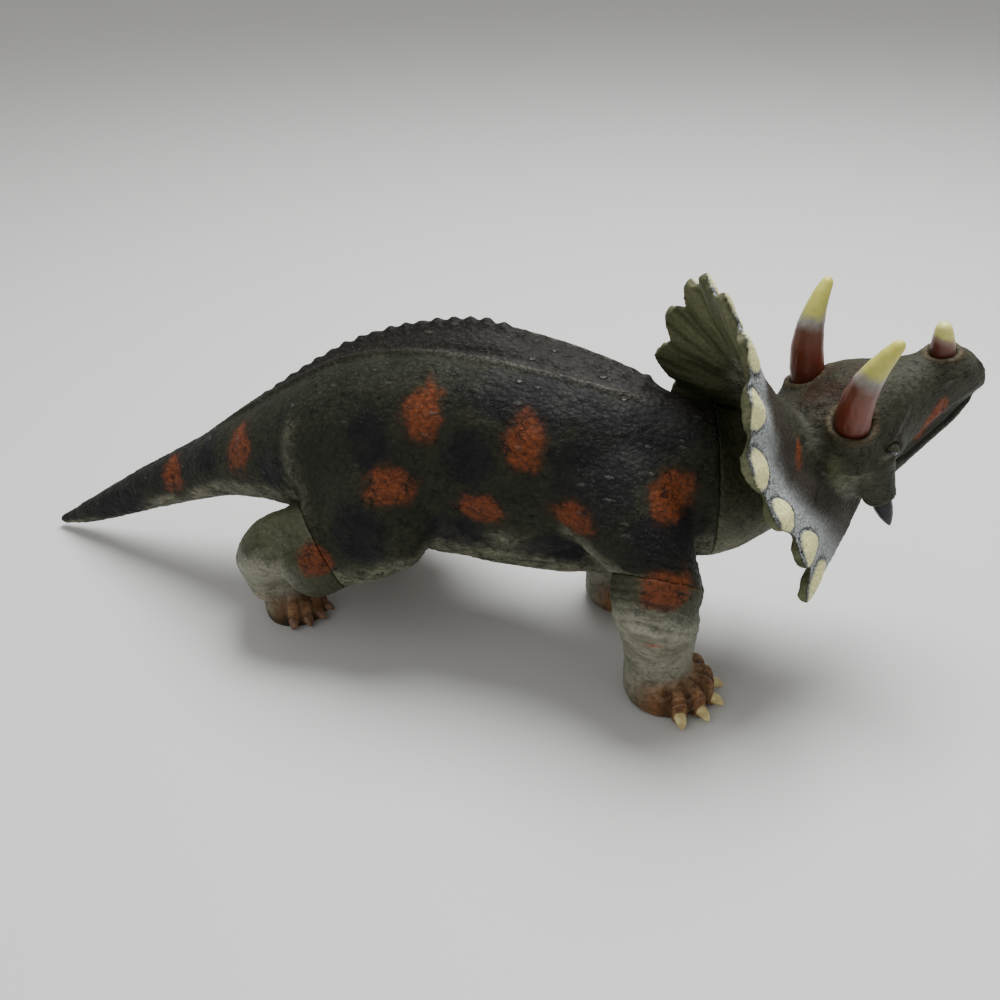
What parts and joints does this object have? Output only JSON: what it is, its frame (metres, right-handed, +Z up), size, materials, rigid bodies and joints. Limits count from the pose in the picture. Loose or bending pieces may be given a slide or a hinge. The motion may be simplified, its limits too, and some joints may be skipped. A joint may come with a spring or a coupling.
{
  "type": "toy dinosaur figure",
  "caption": "Hollow soft-vinyl horned dinosaur toy in a walking pose, with a turning head and swivelling lower legs held by flanged plugs.",
  "frame": {"origin": "middle of the standing figure's box, on the floor", "axes": "+X from the tail to the head, +Y to the animal's left, +Z up"},
  "size_m": [0.437, 0.1238, 0.1771],
  "materials": {
    "vinyl_skin": "dark olive soft vinyl with a pebbled skin and rust-orange spots",
    "vinyl_head": "dark grey-olive soft vinyl with fine pebbles",
    "vinyl_leg": "pale grey-green soft vinyl with wrinkles",
    "horn_vinyl": "rust brown at the root, grey-white above it and pale yellow at the tip",
    "spike_vinyl": "glossy black",
    "eye_gloss": "glossy pale lilac over black"
  },
  "bodies": {
    "body": {"body_shell": "vinyl_skin"},
    "head": {"head_shell": "vinyl_head", "brow_horn_left": "horn_vinyl", "brow_horn_right": "horn_vinyl", "nose_horn": "horn_vinyl", "cheek_spike_left": "spike_vinyl", "cheek_spike_right": "spike_vinyl", "eye_left": "eye_gloss", "eye_right": "eye_gloss"},
    "front_left": {"leg_front_left": "vinyl_leg"},
    "front_right": {"leg_front_right": "vinyl_leg"},
    "hind_left": {"leg_hind_left": "vinyl_leg"},
    "hind_right": {"leg_hind_right": "vinyl_leg"}
  },
  "joints": [
    {"name": "neck_turn", "type": "hinge", "parent": "body", "child": "head", "pos_m": [0.12052, 0.00104, 0.08806], "axis": [0.9536, 0.3011, 0], "range_deg": [-5, 35]},
    {"name": "front_left_swivel", "type": "hinge", "parent": "body", "child": "front_left", "pos_m": [0.09067, 0.04204, 0.06413], "axis": [-0.3577, 0.6159, -0.702], "range_deg": [-25, 25]},
    {"name": "front_right_swivel", "type": "hinge", "parent": "body", "child": "front_right", "pos_m": [0.111, -0.042, 0.06398], "axis": [0, -0.6159, -0.7878], "range_deg": [-25, 25]},
    {"name": "hind_left_swivel", "type": "hinge", "parent": "body", "child": "hind_left", "pos_m": [-0.02974, 0.03804, 0.04387], "axis": [-0.6859, 0.5626, -0.4616], "range_deg": [-20, 20]},
    {"name": "hind_right_swivel", "type": "hinge", "parent": "body", "child": "hind_right", "pos_m": [-0.03656, -0.03799, 0.049], "axis": [-0.7434, -0.5626, -0.3617], "range_deg": [-20, 20]}
  ]
}
